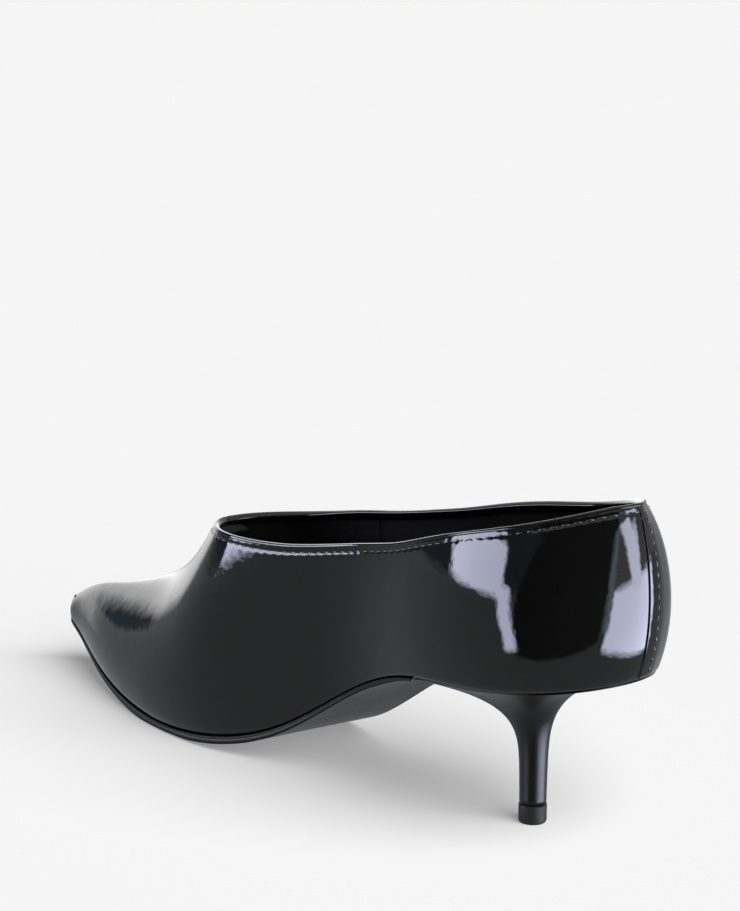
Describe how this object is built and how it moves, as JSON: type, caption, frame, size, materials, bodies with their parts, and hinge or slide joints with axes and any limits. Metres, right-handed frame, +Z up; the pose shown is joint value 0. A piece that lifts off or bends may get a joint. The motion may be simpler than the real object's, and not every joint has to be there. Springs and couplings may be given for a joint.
{
  "type": "high heel pump",
  "caption": "Pointed-toe patent leather pump for the left foot, with a high-cut vamp, closed quarters and a slim, concave mid-height heel.",
  "frame": {"origin": "centre of the bounding box's footprint, at floor height, where the top piece and the ball of the sole stand", "axes": "+Z up, toe towards -Y, heel towards +Y, outer side of the foot towards +X"},
  "size_m": [0.0658, 0.2666, 0.102],
  "materials": {
    "patent": "patent gloss",
    "thread": "waxed thread",
    "lining": "matt",
    "felt": "stiffened felt",
    "fibreboard": "matt fibreboard",
    "foam": "foam",
    "steel": "bright",
    "sole": "satin, bevelled edge",
    "heel": "gloss lacquer",
    "tread": "matt"
  },
  "bodies": {
    "root": {"upper_outer": "patent", "back_seam_lap": "patent", "topline_binding": "patent", "topline_thread": "thread", "back_seam_thread": "thread", "quarter_lining": "lining", "vamp_lining": "lining", "sock_lining": "lining", "toe_puff": "felt", "topline_tape": "felt", "back_seam_tape": "felt", "bottom_filler": "felt", "heel_counter": "fibreboard", "insole_board": "fibreboard", "shank_board": "fibreboard", "heel_pad": "foam", "forefoot_pad": "foam", "steel_shank": "steel", "shank_rivet_rear": "steel", "shank_rivet_front": "steel", "heel_screw": "steel", "heel_nail_1": "steel", "heel_nail_2": "steel", "heel_nail_3": "steel", "heel_nail_4": "steel", "lasting_tack_1": "steel", "lasting_tack_2": "steel", "lasting_tack_3": "steel", "lasting_tack_4": "steel", "lasting_tack_5": "steel", "lasting_tack_6": "steel", "heel_pin": "steel", "outsole": "sole", "heel_block": "heel", "top_piece": "tread", "top_piece_dowel": "tread"}
  },
  "joints": []
}
